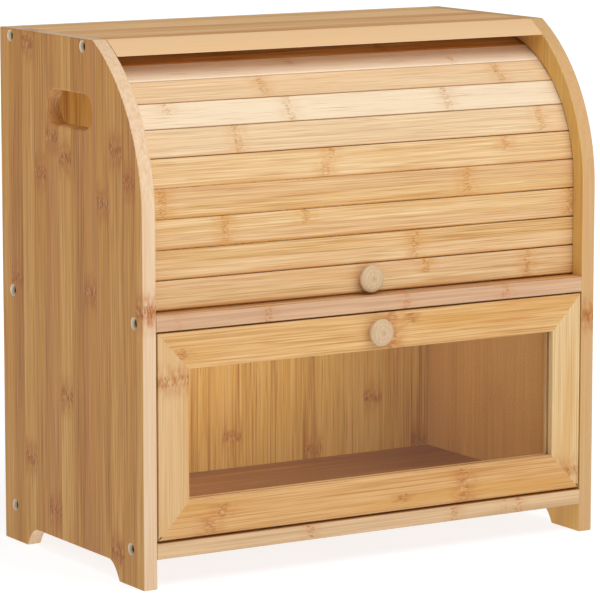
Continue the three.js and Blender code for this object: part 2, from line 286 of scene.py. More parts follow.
def bamboo(name, **changes):
    look = {**bambooBase, **changes}
    f = Finish(name)
    along, across, deep = f.place(look["axes"])
    seed = look["seed"]

    # glued strips, each with a tone and a shift of its own
    stripPlace = (across - look["border"]) / look["strip"]
    strip = stripPlace.math("FLOOR")
    edge = abs(stripPlace - strip - 0.5) * look["strip"]
    lot = f.chance(strip, seed)
    shift = f.chance(strip + 31.7, seed)

    def fibres(length, width, detail=2.0):
        return f.noise(along / length + lot * 60 + seed * 5, across / width, deep / width, detail)

    fine = fibres(95.0, look["fineWidth"])
    mid = fibres(180.0, look["midWidth"])
    broad = fibres(230.0, look["broadWidth"], 1.0)
    tone = 0.5 + (lot - 0.5) * look["stripTone"] * 2
    tone = tone + fine * look["fine"] * 2 + mid * look["mid"] * 2 + broad * look["broad"] * 2
    stops = [(0.0, look["dark"]), (0.5, look["middle"]), (1.0, look["pale"])]
    wood = f.node("ValToRGB", {"stops": stops}, {"Fac": tone}, "Color")

    # blushing strips, golden clouds, warm streaks, hair-thin dark lines and the seams between strips
    wood = f.blend(f.chance(strip + 11.3, seed).rise(0.5, 1.0) * look["blushes"], wood, look["blush"])
    wood = f.blend((0.5 + broad * 2.4).rise(0.5, 1.0) * look["golds"], wood, look["gold"])
    wood = f.blend(fibres(140.0, 4.2).rise(0.08, 0.24) * look["streaks"], wood, look["streak"])
    line = fibres(46.0, 0.62, 1.0).rise(0.1, 0.22) * look["lines"]
    seam = edge.rise(look["strip"] / 2 - 0.35, look["strip"] / 2) * look["seam"]
    wood = f.blend(line, wood, look["knotDark"])
    wood = f.blend(seam, wood, look["knotDark"])

    # edges across the layers are paler and keep a little of the fibre; inside the hand slot the walls keep
    # the face's darker colour as painted shade
    rim = f.facing(look["axes"][2]).fall(*look["rimTurn"]) * look["rimShare"]
    if look["hollow"]:
        low, high, near, far = look["hollow"]
        room = along.rise(low, low + 1) * along.fall(high - 1, high)
        room = room * across.rise(near, near + 1) * across.fall(far - 1, far)
        rim = rim * (1 - room * 0.85)
    rimDark = f.blend(0.4, look["rim"], look["middle"])
    wood = f.blend(rim, wood, f.blend(0.6 + mid * 2.2 + fine * 2.0, rimDark, look["rim"]))

    # the joints of the cane: a speckled band with a soft halo, across one strip
    def knotBand(far, share):
        half = look["knotHalf"]
        return far.fall(half * 0.6, half * 1.3) * share, far.fall(half, half * 4.5) * share

    wobble = f.noise(across / 3.5, deep / 3.5, seed, 1.0) * 3.2
    cell = along / look["knotSpacing"] + shift * 7.3 + seed
    rare = 1 - look["knotShare"]
    here = f.chance(cell.math("FLOOR") + 3.1, strip + 0.7).rise(rare, rare + 0.001)
    far = abs((cell - cell.math("FLOOR") - 0.5) * look["knotSpacing"] + wobble)
    near, halo = knotBand(far, here * look["knots"])
    for place, low, high in look["marks"]:
        inside = across.rise(low - 0.6, low + 0.6) * across.fall(high - 0.6, high + 0.6)
        markNear, markHalo = knotBand(abs(along - place + wobble), inside)
        near = near.math("MAXIMUM", markNear)
        halo = halo.math("MAXIMUM", markHalo)
    scatter = lot * 90 + seed
    speck = f.noise(along / 3.3 + scatter, across / 0.95 + scatter, deep / 0.95)
    patch = f.noise(along / 8.0 + scatter, across / 3.4, deep / 3.4, 1.0) * 3.0 + 0.75
    dash = speck.rise(0.02, 0.14) * near
    gleam = speck.fall(-0.16, -0.05) * near
    wood = f.blend(halo * (patch + mid * 2.0) * look["knotShade"], wood, look["knotTint"])
    wood = f.blend(near * patch * look["knotShade"], wood, look["knotTint"])
    wood = f.blend(dash * 0.62, wood, look["knotDark"])
    wood = f.blend(gleam * 0.35, wood, look["rim"])
    # painted shade along each slat's lower, rounded edge
    if look["lowEdge"]:
        ragged = across + fine * 5.0 + mid * 6.0
        wood = f.blend(ragged.fall(-10.4, -7.2) * look["lowEdge"], wood, look["streak"])

    # bore walls get painted light near the mouth and painted shade further in, and the inner face is
    # painted paler than the outer with painted light
    for place, low in look["bores"]:
        reach = ((along - place) * (along - place) + (across - low) * (across - low)).math("SQRT")
        bored = reach.fall(look["boreRadius"] + 0.12, look["boreRadius"] + 0.3)
        paintedBoreWall = f.blend(abs(deep).rise(*look["boreTurn"]), look["bottom"], look["fresh"])
        wood = f.blend(bored, wood, paintedBoreWall)
    # painted light: the panels' inner face is made paler than the outer
    if look["innerFace"]:
        wood = f.blend(abs(deep).fall(*look["innerFace"]) * 0.5, wood, look["within"])

    height = fine * 0.6 + mid * 0.4 - line * 0.6 - dash * 0.8 - seam * 0.5
    roughness = look["roughness"] + fine * 0.14 + near * 0.06
    return f.close(color=wood, roughness=roughness, normal=f.bump(height, 0.35, 0.1), specular=0.22)


# outlines and meshes
def arc(centre, radius, start, stop, steps):
    # points of an arc, from one angle to another, in degrees
    turns = [math.radians(start + (stop - start) * step / steps) for step in range(steps + 1)]
    return [(centre[0] + radius * math.cos(turn), centre[1] + radius * math.sin(turn)) for turn in turns]


def turning(points):
    # 1 for an outline that runs anticlockwise, -1 for the other way
    area = sum(a[0] * b[1] - b[0] * a[1] for a, b in zip(points, points[1:] + points[:1]))
    return 1 if area > 0 else -1


def eased(points, radius, steps=4):
    # the outline with its corners rounded; radius is one number, or one for each point
    radii = radius if isinstance(radius, (list, tuple)) else [radius] * len(points)
    result = []
    for index, (point, reach) in enumerate(zip(points, radii)):
        here = Vector(point)
        before = Vector(points[index - 1])
        after = Vector(points[(index + 1) % len(points)])
        arriving, leaving = here - before, after - here
        bend = arriving.angle(leaving)
        if bend < math.radians(25) or not reach:
            result.append(tuple(here))
            continue
        reach = min(reach * math.tan(bend / 2), arriving.length * 0.45, leaving.length * 0.45)
        start = here - arriving.normalized() * reach
        stop = here + leaving.normalized() * reach
        for step in range(steps + 1):
            t = step / steps
            result.append(tuple(start.lerp(here, t).lerp(here.lerp(stop, t), t)))
    return result


def inset(points, distance):
    # every point moved inwards, so that each side moves in by the distance
    if not distance:
        return list(points)
    side = turning(points)
    result = []
    for index, point in enumerate(points):
        arriving = (Vector(point) - Vector(points[index - 1])).normalized()
        leaving = (Vector(points[(index + 1) % len(points)]) - Vector(point)).normalized()
        first, second = (Vector((-way.y, way.x)) * side for way in (arriving, leaving))
        middle = (first + second).normalized()
        result.append(tuple(Vector(point) + middle * distance / max(0.5, middle.dot(first))))
    return result


def roundEnd(end, inward, soften):
    # levels of a softened end as [place, inset], from the end towards the middle
    steps = 4
    turns = [math.pi / 2 * step / steps for step in range(steps, -1, -1)]
    return [(end + inward * soften * (1 - math.sin(turn)), soften * (1 - math.cos(turn))) for turn in turns]


def mouth(face, inward, radius, steps=3):
    # levels of a cutter with a softened mouth, starting in the open
    turns = [math.radians(80) * step / steps for step in range(steps, -1, -1)]
    levels = [(face - inward * 0.6, -radius - 3)]
    for turn in turns:
        levels.append((face + inward * radius * (1 - math.sin(turn)), -radius * (1 - math.cos(turn))))
    return levels


def toObject(name, mesh):
    bmesh.ops.recalc_face_normals(mesh, faces=mesh.faces)
    data = bpy.data.meshes.new(name)
    mesh.to_mesh(data)
    mesh.free()
    piece = bpy.data.objects.new(name, data)
    scene.collection.objects.link(piece)
    return piece


def skinned(name, *stacks):
    # each stack is a list of rings with as many points each, skinned and closed at both ends
    mesh = bmesh.new()
    for rings in stacks:
        loops = [[mesh.verts.new(Vector(point) * mm) for point in ring] for ring in rings]
        for near, far in zip(loops, loops[1:]):
            for index in range(len(near)):
                mesh.faces.new((near[index - 1], near[index], far[index], far[index - 1]))
        mesh.faces.new(loops[0])
        mesh.faces.new(loops[-1])
    return toObject(name, mesh)


def stack(outline, levels, place):
    # rings of an outline at each [level, inset]
    return [[place(level, u, v) for u, v in inset(outline, shrink)] for level, shrink in levels]


def alongX(level, u, v):
    return (level, u, v)


def alongY(level, u, v):
    return (u, level, v)


def pulled(name, outline, low, high, soften, place):
    # an outline drawn out from low to high, with softened ends
    levels = roundEnd(low, 1, soften) + roundEnd(high, -1, soften)[::-1]
    return skinned(name, stack(outline, levels, place))


def carved(piece, cutter):
    # the piece with the cutter taken out of it for good
    cut = piece.modifiers.new("cut", "BOOLEAN")
    cut.operation, cut.solver, cut.object = "DIFFERENCE", "EXACT", cutter
    graph = bpy.context.evaluated_depsgraph_get()
    whole = piece.data
    piece.data = bpy.data.meshes.new_from_object(piece.evaluated_get(graph))
    piece.modifiers.clear()
    bpy.data.meshes.remove(whole)
    bpy.data.objects.remove(cutter)
    return piece


def fitted(piece, material, slotName, *nodes):
    # smooth shading, finish, and the place of the piece in the frame
    piece.data.materials.clear()
    piece.data.materials.append(material)
    piece.data.shade_smooth()
    piece.data.set_sharp_from_angle(angle=math.radians(38))
    weighted = piece.modifiers.new("even shading", "WEIGHTED_NORMAL")
    weighted.keep_sharp = True
    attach(piece, bodyOf[nodes[0]])
    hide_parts(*nodes)
    return piece


def corners(node):
    # a node's lowest and highest corners, in millimetres
    low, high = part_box(node)
    return low / mm, high / mm


# the carcass, measured from the frame where it can be
panelLow, panelHigh = corners("side_panel_right")
front, back, roof = panelLow.y, panelHigh.y, panelHigh.z
inner, outer = panelLow.x, panelHigh.x
shelfLow, shelfHigh = corners("middle_shelf")
baseLow, baseHigh = corners("bottom_board")
topLow, topHigh = corners("top_board")
carcass = {
    "noseRadius": 144.4, "noseHeight": 271.0,
    "footFront": 37.4, "footRear": 183.5, "archHeight": 14.5, "archRun": 17.4,
    "slotFront": 74.0, "slotRear": 143.5, "slotLow": 329.4, "slotHigh": 355.4,
    "softEdge": 0.9, "softSlot": 1.6,
    "counterbore": 4.3, "counterboreDepth": 6.4, "screwHole": 2.25, "screwHoleDepth": 24.5,
    "pinHole": 1.8, "pinDepth": 8.3,
}
noseCentre = (front + carcass["noseRadius"], carcass["noseHeight"])

# the roll top's track: a straight rise, a front arc and a tighter rear arc
track = {
    "set": 13.6, "lift": 0.8, "bend": 275.5, "frontRadius": 108.0, "rearRadius": 87.5,
    "pitch": 22.3, "grooveDepth": 4.0, "outside": 0.6, "inside": 7.2, "grooveEnd": 256.0,
}
trackFront = front + track["set"]
trackStart = shelfHigh.z + track["lift"]
trackMiddle = trackFront + track["frontRadius"]
rearCentre = (trackMiddle, track["bend"] + track["frontRadius"] - track["rearRadius"])
frontCentre = (trackMiddle, track["bend"])


def noseAngle(level):
    # how far round the panels' nose a level lies, in degrees
    return math.degrees(math.asin((level - noseCentre[1]) / carcass["noseRadius"]))


def curve(start, first, second, stop, steps=12):
    # a Bezier curve without its last point
    points = []
    for step in range(steps):
        t = step / steps
        parts = ((1 - t) ** 3, 3 * t * (1 - t) ** 2, 3 * t * t * (1 - t), t ** 3)
        ends = (start, first, second, stop)
        points.append(tuple(sum(part * end[axis] for part, end in zip(parts, ends)) for axis in (0, 1)))
    return points


def sideOutline():
    # a side panel: arched between its feet, and rounded over at the upper front
    rise, run = carcass["archHeight"], carcass["archRun"]
    footFront, footRear = front + carcass["footFront"], front + carcass["footRear"]
    arch = curve((footFront, 0), (footFront + 4, 7), (footFront + 9, rise), (footFront + run, rise))
    arch += curve((footRear - run, rise), (footRear - 9, rise), (footRear - 4, 7), (footRear, 0))
    nose = arc(noseCentre, carcass["noseRadius"], 180 - noseAngle(roof), 180, 72)
    return eased([(front, 0)] + arch + [(footRear, 0), (back, 0), (back, roof)] + nose, 1.2)


def grooveOutline():
    # the groove that the slats run in, up its outer wall and back along its inner one
    outside, inside, end = track["outside"], track["inside"], track["grooveEnd"]
    wide, tight = track["frontRadius"], track["rearRadius"]
    outline = [(trackFront - outside, shelfHigh.z)]
    outline += arc(frontCentre, wide + outside, 180, 90, 48)
    outline += arc(rearCentre, tight + outside, 90, 0, 40)[1:]
    outline += [(trackMiddle + tight + outside, end), (trackMiddle + tight - inside, end)]
    outline += arc(rearCentre, tight - inside, 0, 90, 40)
    outline += arc(frontCentre, wide - inside, 90, 180, 48)[1:]
    return outline + [(trackFront + inside, shelfHigh.z)]


def handleOutline():
    # the hand slot, with round ends
    low, high = carcass["slotLow"], carcass["slotHigh"]
    end, middle = (high - low) / 2, (high + low) / 2
    rear = arc((front + carcass["slotRear"] - end, middle), end, -90, 90, 24)
    return rear + arc((front + carcass["slotFront"] + end, middle), end, 90, 270, 24)


def screwPlaces():
    # where each screw goes in, as the frame has it
    places = {}
    for node in frame["nodes"]:
        if node.startswith("screw_right"):
            low, high = corners(node)
            places[node.replace("screw_right_", "")] = ((low.y + high.y) / 2, (low.z + high.z) / 2)
    return places


pinLow, pinHigh = corners("door_pivot_pin_right")
pivot = ((pinLow.y + pinHigh.y) / 2, (pinLow.z + pinHigh.z) / 2)
screws = screwPlaces()


def circle(centre, radius, steps=40):
    return arc(centre, radius, 0, 360, steps)[:-1]


def sidePanel(hand, side):
    # cut for the hand slot, the groove, the door's pin and the six screws
    def place(level, u, v):
        return (side * level, u, v)

    c = carcass
    panel = pulled(f"side_panel_{hand}_bamboo", sideOutline(), inner, outer, c["softEdge"], place)
    slot = mouth(outer, -1, c["softSlot"], 6) + mouth(inner, 1, c["softSlot"], 6)[::-1]
    groove = mouth(inner, 1, 0.35) + [(inner + track["grooveDepth"], 0)]
    pin = mouth(inner, 1, 0.2) + [(inner + c["pinDepth"], 0)]
    seat, narrow = outer - c["counterboreDepth"], c["counterbore"] - c["screwHole"]
    bore = mouth(outer, -1, 0.25) + [(seat, 0), (seat, narrow), (inner - 1, narrow)]
    stacks = [stack(handleOutline(), slot, place), stack(grooveOutline(), groove, place)]
    stacks.append(stack(circle(pivot, c["pinHole"], 24), pin, place))
    stacks += [stack(circle(spot, c["counterbore"]), bore, place) for spot in screws.values()]
    return carved(panel, skinned("cutter", *stacks))


def board(name, outline, radii):
    # a board between the side panels, bored at its ends for the screws
    low, high = topLow.x, topHigh.x
    piece = pulled(name, eased(outline, radii), low, high, 0.25, alongX)
    bottom, top = min(v for u, v in outline), max(v for u, v in outline)
    stacks = []
    for spot in screws.values():
        if bottom < spot[1] < top:
            for side in (-1, 1):
                ends = [(side * (high - carcass["screwHoleDepth"]), 0), (side * (high + 1), 0)]
                stacks.append(stack(circle(spot, carcass["screwHole"], 24), ends, alongX))
    return carved(piece, skinned("cutter", *stacks))


def levelBoard(name, low, high):
    outline = [(front, low.z), (high.y, low.z), (high.y, high.z), (front, high.z)]
    return board(name, outline, [1.3, 0.4, 0.4, 1.3])


def topBoard():
    lowTurn, highTurn = 180 - noseAngle(topLow.z), 180 - noseAngle(roof)
    nose = arc(noseCentre, carcass["noseRadius"], highTurn, lowTurn, 16)
    outline = nose + [(topHigh.y, topLow.z), (topHigh.y, roof)]
    return board("top_board_bamboo", outline, [0.8] + [0] * 15 + [1.0, 0.4, 0.4])


print("carcass is laid out")

# joints of the cane: [height, strip counted from the middle one]
panelMarks = [(387, 3), (320, 1), (305, 0), (291, 2), (318, -4), (278, -3), (297, -5), (206, 4), (209, -2),
              (205, -6), (126, 0), (70, 3), (36, 1), (23, -4)]
slotRoom = (
    carcass["slotLow"] - 3, carcass["slotHigh"] + 3,
    front + carcass["slotFront"] - 3, front + carcass["slotRear"] + 3,
)
# the panels get painted light on the inner face and near the bores' mouths, and painted shade deep in the
# bores and on the hand slot's walls
panelLook = {
    "knots": 0.0, "hollow": slotRoom, "innerFace": (inner + 0.2, inner + 0.8),
    "bores": [(level, along) for along, level in screws.values()],
    "boreRadius": carcass["counterbore"], "boreTurn": (outer - 3.8, outer - 2.6),
}
panelRims = {"left": colour(230, 204, 174), "right": colour(206, 170, 124)}
rightMarksLower = 34  # the right panel's joints lie this much lower


def stripMarks(marks):
    # marks over whole strips of a panel
    strip, border = bambooBase["strip"], bambooBase["border"]
    return [(place, border + number * strip, border + (number + 1) * strip) for place, number in marks]


for hand, side, seed in (("left", -1, 4.0), ("right", 1, 9.0)):
    lower = rightMarksLower if hand == "right" else 0
    marks = stripMarks([(level - lower, number) for level, number in panelMarks])
    finish = bamboo(f"panel {hand}", seed=seed, marks=marks, rim=panelRims[hand], **panelLook)
    fitted(sidePanel(hand, side), finish, "panel_bamboo", f"side_panel_{hand}")

boardLook = {
    "axes": "xyz", "strip": 20.0, "stripTone": 0.2, "lines": 0.25,
    "knots": 0.4, "knotShare": 0.35, "knotShade": 0.2, "knotHalf": 3.2,
    "knotDark": colour(156, 100, 56), "knotTint": colour(196, 132, 76),
    "dark": colour(190, 136, 82), "middle": colour(222, 178, 122), "pale": colour(232, 196, 148),
    "streak": colour(206, 148, 90), "rim": colour(226, 192, 150),
}
# the top board's colours are painted paler than the other boards', as painted light from above
topLook = {
    **boardLook, "seed": 2.0, "border": 6.0, "rimTurn": (0.88, 0.97), "knots": 0.0,
    "dark": colour(204, 142, 80), "middle": colour(245, 192, 128), "pale": colour(250, 212, 158),
}
shelfLook = {**boardLook, "seed": 5.0, "middle": colour(170, 122, 86), "rim": colour(212, 172, 138)}
baseLook = {
    **boardLook, "seed": 7.0,
    "dark": colour(140, 96, 56), "middle": colour(154, 108, 66), "pale": colour(180, 132, 84),
}
backLook = {
    "axes": "zxy", "seed": 3.0, "strip": 19.5, "border": 4.0, "stripTone": 0.22, "lines": 0.5, "mid": 0.42,
    "fineWidth": 1.1, "knots": 0.0, "knotShade": 0.3, "blushes": 0.1, "gold": colour(214, 162, 76),
    "dark": colour(180, 124, 56), "middle": colour(220, 178, 94), "pale": colour(234, 196, 120),
}
backMarks = [(80, 125, 143), (40, 171, 188), (41, 68, 86), (60, -8, 10), (140, -60, -42)]


def frontMarks(*places):
    # marks on a board's front strip
    return [(place, front - 2, front + 16) for place in places]


def backPanel():
    low, high = corners("back_panel")
    outline = eased([(low.x, low.z), (high.x, low.z), (high.x, high.z), (low.x, high.z)], 0.5)
    return pulled("back_panel_bamboo", outline, low.y, high.y, 0.5, alongY)


fitted(topBoard(), bamboo("top board", **topLook), "board_bamboo", "top_board")
shelf = levelBoard("middle_shelf_bamboo", shelfLow, shelfHigh)
shelfFinish = bamboo("shelf", marks=frontMarks(-94, 27, 117), **shelfLook)
fitted(shelf, shelfFinish, "board_bamboo", "middle_shelf")
base = levelBoard("bottom_board_bamboo", baseLow, baseHigh)
baseFinish = bamboo("bottom board", marks=frontMarks(-58, 71, 131), **baseLook)
fitted(base, baseFinish, "board_bamboo", "bottom_board")
fitted(backPanel(), bamboo("back panel", marks=backMarks, **backLook), "panel_bamboo", "back_panel")
print("carcass is built")


# screws, pins and catch
screwShape = {
    "head": 3.7, "headHeight": 2.2, "shank": 1.95, "length": 34.0, "point": 4.0,
    "socket": 1.5, "socketDepth": 1.4, "soft": 0.15, "sides": 36,
}


def metal(name, tint, roughness, worn):
    f = Finish(name)
    x, y, z = f.place()
    cloud = f.noise(x / 1.8, y / 1.8, z / 1.8, 3.0)
    scratch = f.noise(x / 6, y / 0.25, z / 0.25, 1.0)
    shade = f.blend(0.5 + cloud * 1.6, tint, worn)
    height = scratch * 0.5 + cloud * 0.3
    return f.close(color=shade, metallic=0.95, roughness=roughness + cloud * 0.25 + scratch * 0.12,
                   normal=f.bump(height, 0.25, 0.03))


darkSteel = metal("blackened steel", colour(92, 86, 80), 0.38, colour(64, 60, 56))
brightSteel = metal("bright steel", colour(205, 206, 208), 0.28, colour(170, 172, 176))


def carcassScrew(name, side, spot):
    # countersunk in its bore: a round head with a hexagonal socket, and a plain shank with a point
    s = screwShape
    seat = outer - carcass["counterboreDepth"] + 0.1
    top = seat + s["headHeight"]
    soft = s["soft"]

    def ring(level, radius):
        return [(side * level, u, v) for u, v in circle(spot, radius, s["sides"])]

    def hexagon(level, radius):
        points = []
        for index in range(s["sides"]):
            turn = math.radians(360 * index / s["sides"])
            reach = radius / math.cos((turn + math.pi / 6) % (math.pi / 3) - math.pi / 6)
            across, up = reach * math.cos(turn), reach * math.sin(turn)
            points.append((side * level, spot[0] + across, spot[1] + up))
        return points

    flat = s["socket"] * math.cos(math.pi / 6)
    rings = [hexagon(top - s["socketDepth"], flat), hexagon(top - 0.1, flat), hexagon(top, flat + 0.12)]
    rings += [ring(top, s["head"] - 0.5), ring(top - soft, s["head"] - soft), ring(top - 0.5, s["head"])]
    rings += [ring(seat + soft, s["head"]), ring(seat, s["head"] - soft), ring(seat, s["shank"])]
    rings += [ring(top - s["length"] + s["point"], s["shank"]), ring(top - s["length"], 0.3)]
    return skinned(name, rings)


for hand, side in (("left", -1), ("right", 1)):
    for place, spot in screws.items():
        node = f"screw_{hand}_{place}"
        fitted(carcassScrew(node + "_steel", side, spot), darkSteel, "dark_steel", node)


def keepNode(node, material, soften):
    # a piece that stays as it came, with softened edges and its finish
    piece = frame["nodes"][node]
    piece.data.materials.clear()
    piece.data.materials.append(material)
    bevel = piece.modifiers.new("soft edges", "BEVEL")
    bevel.width, bevel.segments, bevel.limit_method = soften * mm, 2, "ANGLE"
    bevel.angle_limit = math.radians(40)


def plastic(name):
    f = Finish(name)
    x, y, z = f.place()
    grain = f.noise(x / 0.35, y / 0.35, z / 0.35, 2.0)
    cloud = f.noise(x / 9, y / 9, z / 9, 2.0)
    shade = f.blend(0.5 + cloud, colour(226, 223, 214), colour(236, 234, 228))
    return f.close(color=shade, roughness=0.42 + grain * 0.14, normal=f.bump(grain, 0.2, 0.05))


whitePlastic = plastic("white plastic")
for hand in ("left", "right"):
    keepNode(f"door_pivot_pin_{hand}", brightSteel, 0.2)
keepNode("strike_plate", brightSteel, 0.15)
keepNode("magnet_catch", whitePlastic, 0.5)
keepNode("catch_magnet", darkSteel, 0.2)
print("fittings are in")


# the drop-front door
doorLow, doorHigh = corners("door_bottom_rail")[0], corners("door_top_rail")[1]
paneLow, paneHigh = corners("door_window")
door = {
    "window": 161.5, "windowLow": 63.5, "windowHigh": 160.6,  # half its width, and its levels
    "thick": 11.5, "rebate": 4.3, "slack": 0.3, "soft": 0.8, "knobHole": 2.3,
}
doorHalf = doorHigh.x
doorInner = front + door["thick"]
knuckle = pivot[0] - front


def memberSection(breadth, knuckled, step):
    # the moulding's section: [depth, distance out from the window], with the pane's groove
    near, far = paneLow.y - door["slack"], paneHigh.y + door["slack"]
    points = [(front, 0), (near, 0), (near, door["rebate"]), (far, door["rebate"]), (far, 0)]
    points += [(doorInner, 0), (doorInner, breadth)]
    radii = [door["soft"], 0.3, 0.1, 0.1, 0.3, 0.6, 0.6]
    if knuckled:
        drop = breadth - (pivot[1] - doorLow.z)
        reach = math.degrees(math.asin((pivot[1] - doorLow.z) / knuckle))
        curved = [(u, 2 * drop - v) for u, v in arc((pivot[0], drop), knuckle, 180 + reach, 180, 10)]
        return eased(points + curved, radii + [0] * len(curved))
    return eased(points + [(front, breadth), (front, step)], radii + [door["soft"], 0])


def rail(name, edge, outerEdge):
    # from one mitre to the other; the lower rail carries the knuckle
    breadth = abs(outerEdge - edge)
    way = 1 if outerEdge > edge else -1
    slope = (doorHalf - door["window"]) / breadth
    section = memberSection(breadth, way < 0, breadth / 2)
    rings = []
    for side in (-1, 1):
        rings.append([(side * (door["window"] + v * slope), u, edge + way * v) for u, v in section])
    return skinned(name, rings)


def stile(name, side):
    breadth = doorHalf - door["window"]
    rise = (doorHigh.z - door["windowHigh"]) / breadth
    fall = (door["windowLow"] - doorLow.z) / breadth
    section = memberSection(breadth, False, (door["windowLow"] - pivot[1]) / fall)

    def heel(u, level):
        # the lower end stays inside the knuckle's round
        if u >= pivot[0]:
            return level
        return max(level, pivot[1] - math.sqrt(max(0, knuckle ** 2 - (pivot[0] - u) ** 2)))

    lower = [(side * (door["window"] + v), u, heel(u, door["windowLow"] - v * fall)) for u, v in section]
    upper = [(side * (door["window"] + v), u, door["windowHigh"] + v * rise) for u, v in section]
    return skinned(name, [lower, upper])


def boredForKnob(piece, level):
    # a hole through the rail for the knob's screw
    ends = [(front - 1, 0), (doorInner + 8, 0)]
    return carved(piece, skinned("cutter", stack(circle((0, level), door["knobHole"], 24), ends, alongY)))


knobLow, knobHigh = corners("door_knob")
doorKnobZ = (knobLow.z + knobHigh.z) / 2
railLook = {
    "axes": "xzy", "strip": 100.0, "stripTone": 0.0, "fine": 1.1, "mid": 0.5, "broad": 0.4, "lines": 0.42,
    "dark": colour(190, 138, 78), "middle": colour(217, 171, 112), "pale": colour(230, 192, 138),
    "streak": colour(204, 138, 68), "streaks": 0.7, "rim": colour(230, 198, 152), "rimShare": 0.5,
    "knots": 0.0, "knotHalf": 4.0, "knotShade": 0.34, "knotDark": colour(160, 100, 44),
}
stileLook = {
    **railLook, "axes": "zxy", "strip": 900.0, "fine": 0.8, "mid": 0.3, "lines": 0.25,
    "dark": colour(198, 152, 96), "middle": colour(221, 189, 138), "pale": colour(232, 204, 160),
    "streak": colour(214, 164, 104), "streaks": 0.3,
}
doorMarks = {
    "top": [(14, 160, 190), (-168, 168, 176), (30, 178, 186)],
    "bottom": [(-134, 48, 58), (-144, 36, 50), (80, 34, 62), (24, 42, 48)],
    "left": [(153, -190, -160)],
    "right": [(49, 160, 190)],
}
topRail = rail("door_top_rail_bamboo", door["windowHigh"], doorHigh.z)
topFinish = bamboo("door top rail", seed=11.0, marks=doorMarks["top"], **railLook)
fitted(boredForKnob(topRail, doorKnobZ), topFinish, "door_bamboo", "door_top_rail")
bottomRail = rail("door_bottom_rail_bamboo", door["windowLow"], doorLow.z)
bottomFinish = bamboo("door bottom rail", seed=12.0, marks=doorMarks["bottom"], **railLook)
fitted(bottomRail, bottomFinish, "door_bamboo", "door_bottom_rail")
for hand, side, seed in (("left", -1, 13.0), ("right", 1, 14.0)):
    finish = bamboo(f"door stile {hand}", seed=seed, marks=doorMarks[hand], **stileLook)
    fitted(stile(f"door_stile_{hand}_bamboo", side), finish, "door_bamboo", f"door_stile_{hand}")


def acrylic(name):
    f = Finish(name)
    x, y, z = f.place()
    smear = f.noise(x / 40, y / 40, z / 25, 3.0)
    clear = f.node("BsdfTransparent", None, {"Color": (0.97, 0.975, 0.97, 1)})
    gloss = f.node("BsdfAnisotropic", None, {"Color": (1, 1, 1, 1), "Roughness": 0.05 + smear * 0.06})
    # how grazing the view is, the same from either side of a face
    grazing = f.node("LayerWeight", None, {"Blend": 0.5}, "Facing")
    mirror = grazing.math("POWER", 4.0) * 0.55 + 0.012
    f.output(f.node("MixShader", None, {0: mirror, 1: clear, 2: gloss}))
    return f.material


def windowPane():
    low, high = paneLow, paneHigh
    outline = eased([(low.x, low.z), (high.x, low.z), (high.x, high.z), (low.x, high.z)], 1.5)
    return pulled("door_window_pane", outline, low.y, high.y, 0.25, alongY)


fitted(windowPane(), acrylic("clear acrylic"), "acrylic", "door_window")
print("door is hung")


# turned knobs and their screws; the profile is [radius, distance out]
knobShape = {
    "profile": [(6.8, 0.1), (7.1, 0.3), (7.2, 0.8), (6.9, 1.5), (6.7, 2.2), (6.8, 2.8),
                (7.2, 3.4), (7.9, 4.0), (8.8, 4.7), (9.6, 5.4), (10.1, 6.1), (10.3, 6.8)],
    "shoulder": 7.1, "reach": 10.5, "radius": 10.3, "steps": 14,
    "hole": 2.3, "holeDepth": 7.6,
}
knobScrew = {"bite": 7.0, "shank": 2.0, "head": 4.0, "headHeight": 2.3}


def knobRings():
    # from the foot, out along the profile and over a flattened dome
    k = knobShape
    profile = list(k["profile"])
    for step in range(1, k["steps"]):
        turn = math.pi / 2 * step / k["steps"]
        height = k["shoulder"] + (k["reach"] - k["shoulder"]) * math.sin(turn)
        profile.append((k["radius"] * math.cos(turn) ** 0.85, height))
    profile.append((0.25, k["reach"]))
    return [[alongY(-out, u, v) for u, v in circle((0, 0), radius, 72)] for radius, out in profile]


def knobWood(name, seed):
    f = Finish(name)
    x, y, z = f.place()
    ring = (x * x + z * z).math("SQRT")
    wave = f.noise(x / 5, y / 5, z / 16 + seed, 3.0)
    grain = f.noise(x / 0.7, y / 0.7, z / 9 + seed, 2.0)
    growth = (ring * 2.1 + wave * 9).math("SINE") * 0.5 + 0.5
    shade = f.blend(0.35 + growth * 0.3 + grain * 1.6, colour(192, 156, 116), colour(215, 188, 152))
    shade = f.blend((ring + wave * 1.5).fall(0.5, 2.2) * 0.5, shade, colour(164, 124, 80))
    shade = f.blend(grain.rise(0.12, 0.26) * 0.35, shade, colour(178, 138, 104))
    height = grain * 0.6 + growth * 0.15
    return f.close(color=shade, roughness=0.48 + grain * 0.12, normal=f.bump(height, 0.25, 0.08))


def knobScrewShape(name, plate):
    # a pan head on the back of the plate, and a shank into the knob
    bite, shank, head = knobScrew["bite"], knobScrew["shank"], knobScrew["head"]
    outline = [(0.3, -bite), (shank, -bite + 0.6), (shank, plate + 0.1), (head - 0.2, plate + 0.1)]
    outline += [(head, plate + 0.3), (head, plate + 1.1), (head - 0.3, plate + 1.7)]
    outline += [(head - 1.1, plate + 2.2), (0.3, plate + knobScrew["headHeight"])]
    rings = [[alongY(out, u, v) for u, v in circle((0, 0), radius, 32)] for radius, out in outline]
    return skinned(name, rings)


def knobCarved(name):
    # with the blind hole that its screw goes into
    piece = skinned(name, knobRings())
    hole = [(1.0, 0), (-knobShape["holeDepth"], 0)]
    return carved(piece, skinned("cutter", stack(circle((0, 0), knobShape["hole"], 24), hole, alongY)))


def moved(piece, matrix):
    piece.matrix_world = matrix
    return piece


doorFace = Matrix.Translation(Vector((0, front, doorKnobZ)) * mm)
doorKnob = moved(knobCarved("door_knob_wood"), doorFace)
fitted(doorKnob, knobWood("door knob wood", 2.0), "knob_wood", "door_knob")
doorKnobScrew = moved(knobScrewShape("door_knob_screw_steel", door["thick"]), doorFace)
fitted(doorKnobScrew, brightSteel, "steel", "door_knob_screw")


